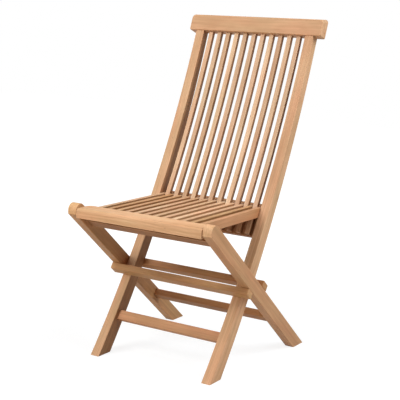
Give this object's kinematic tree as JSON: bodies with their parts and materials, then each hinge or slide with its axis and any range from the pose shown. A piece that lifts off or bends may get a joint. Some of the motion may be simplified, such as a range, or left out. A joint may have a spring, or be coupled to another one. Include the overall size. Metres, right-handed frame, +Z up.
{
  "type": "folding chair",
  "caption": "Folding slatted teak side chair without arms: bowed back frame, crossed legs and a seat that folds up with them.",
  "frame": {"origin": "on the floor, midway across the chair and midway between the seat's front edge and the rear of the top rail", "axes": "+Z up, +Y to the rear of the chair, -Y the way the sitter faces, +X to the sitter's left"},
  "size_m": [0.429, 0.5838, 0.8983],
  "materials": {
    "teak": "bare, fine sanded",
    "dowel_wood": "bare",
    "steel": "stainless, brushed",
    "brass": "satin"
  },
  "bodies": {
    "back_frame": {"left_stile": "teak", "right_stile": "teak", "top_rail": "teak", "back_slat_01": "teak", "back_slat_02": "teak", "back_slat_03": "teak", "back_slat_04": "teak", "back_slat_05": "teak", "back_slat_06": "teak", "back_slat_07": "teak", "back_slat_08": "teak", "back_slat_09": "teak", "back_slat_10": "teak", "back_slat_11": "teak", "lower_back_rail": "teak", "front_stretcher": "teak", "front_stop_rail": "teak", "rear_stop_rail": "teak", "stop_rail_dowels": "dowel_wood", "cross_pivot_pins": "steel", "cross_pivot_washers": "brass"},
    "leg_frame": {"left_leg": "teak", "right_leg": "teak", "leg_top_rail": "teak", "rear_stretcher": "teak"},
    "seat": {"seat_front_board": "teak", "seat_side_rail_left": "teak", "seat_side_rail_right": "teak", "seat_slat_01": "teak", "seat_slat_02": "teak", "seat_slat_03": "teak", "seat_slat_04": "teak", "seat_slat_05": "teak", "seat_slat_06": "teak", "seat_slat_07": "teak", "seat_slat_08": "teak", "seat_slat_09": "teak", "seat_slat_10": "teak", "seat_rear_rail": "teak", "seat_pivot_pins": "steel", "seat_pivot_washers": "brass"}
  },
  "joints": [
    {"name": "leg_fold", "type": "hinge", "parent": "back_frame", "child": "leg_frame", "pos_m": [0, -0.04851, 0.21324], "axis": [-1, 0, 0], "range_deg": [0, 72]},
    {"name": "seat_fold", "type": "hinge", "parent": "leg_frame", "child": "seat", "pos_m": [0, -0.27245, 0.3985], "axis": [1, 0, 0], "range_deg": [0, 125.5]}
  ],
  "couplings": [
    {"joint": "seat_fold", "follows": "leg_fold", "ratio": 1.74}
  ]
}
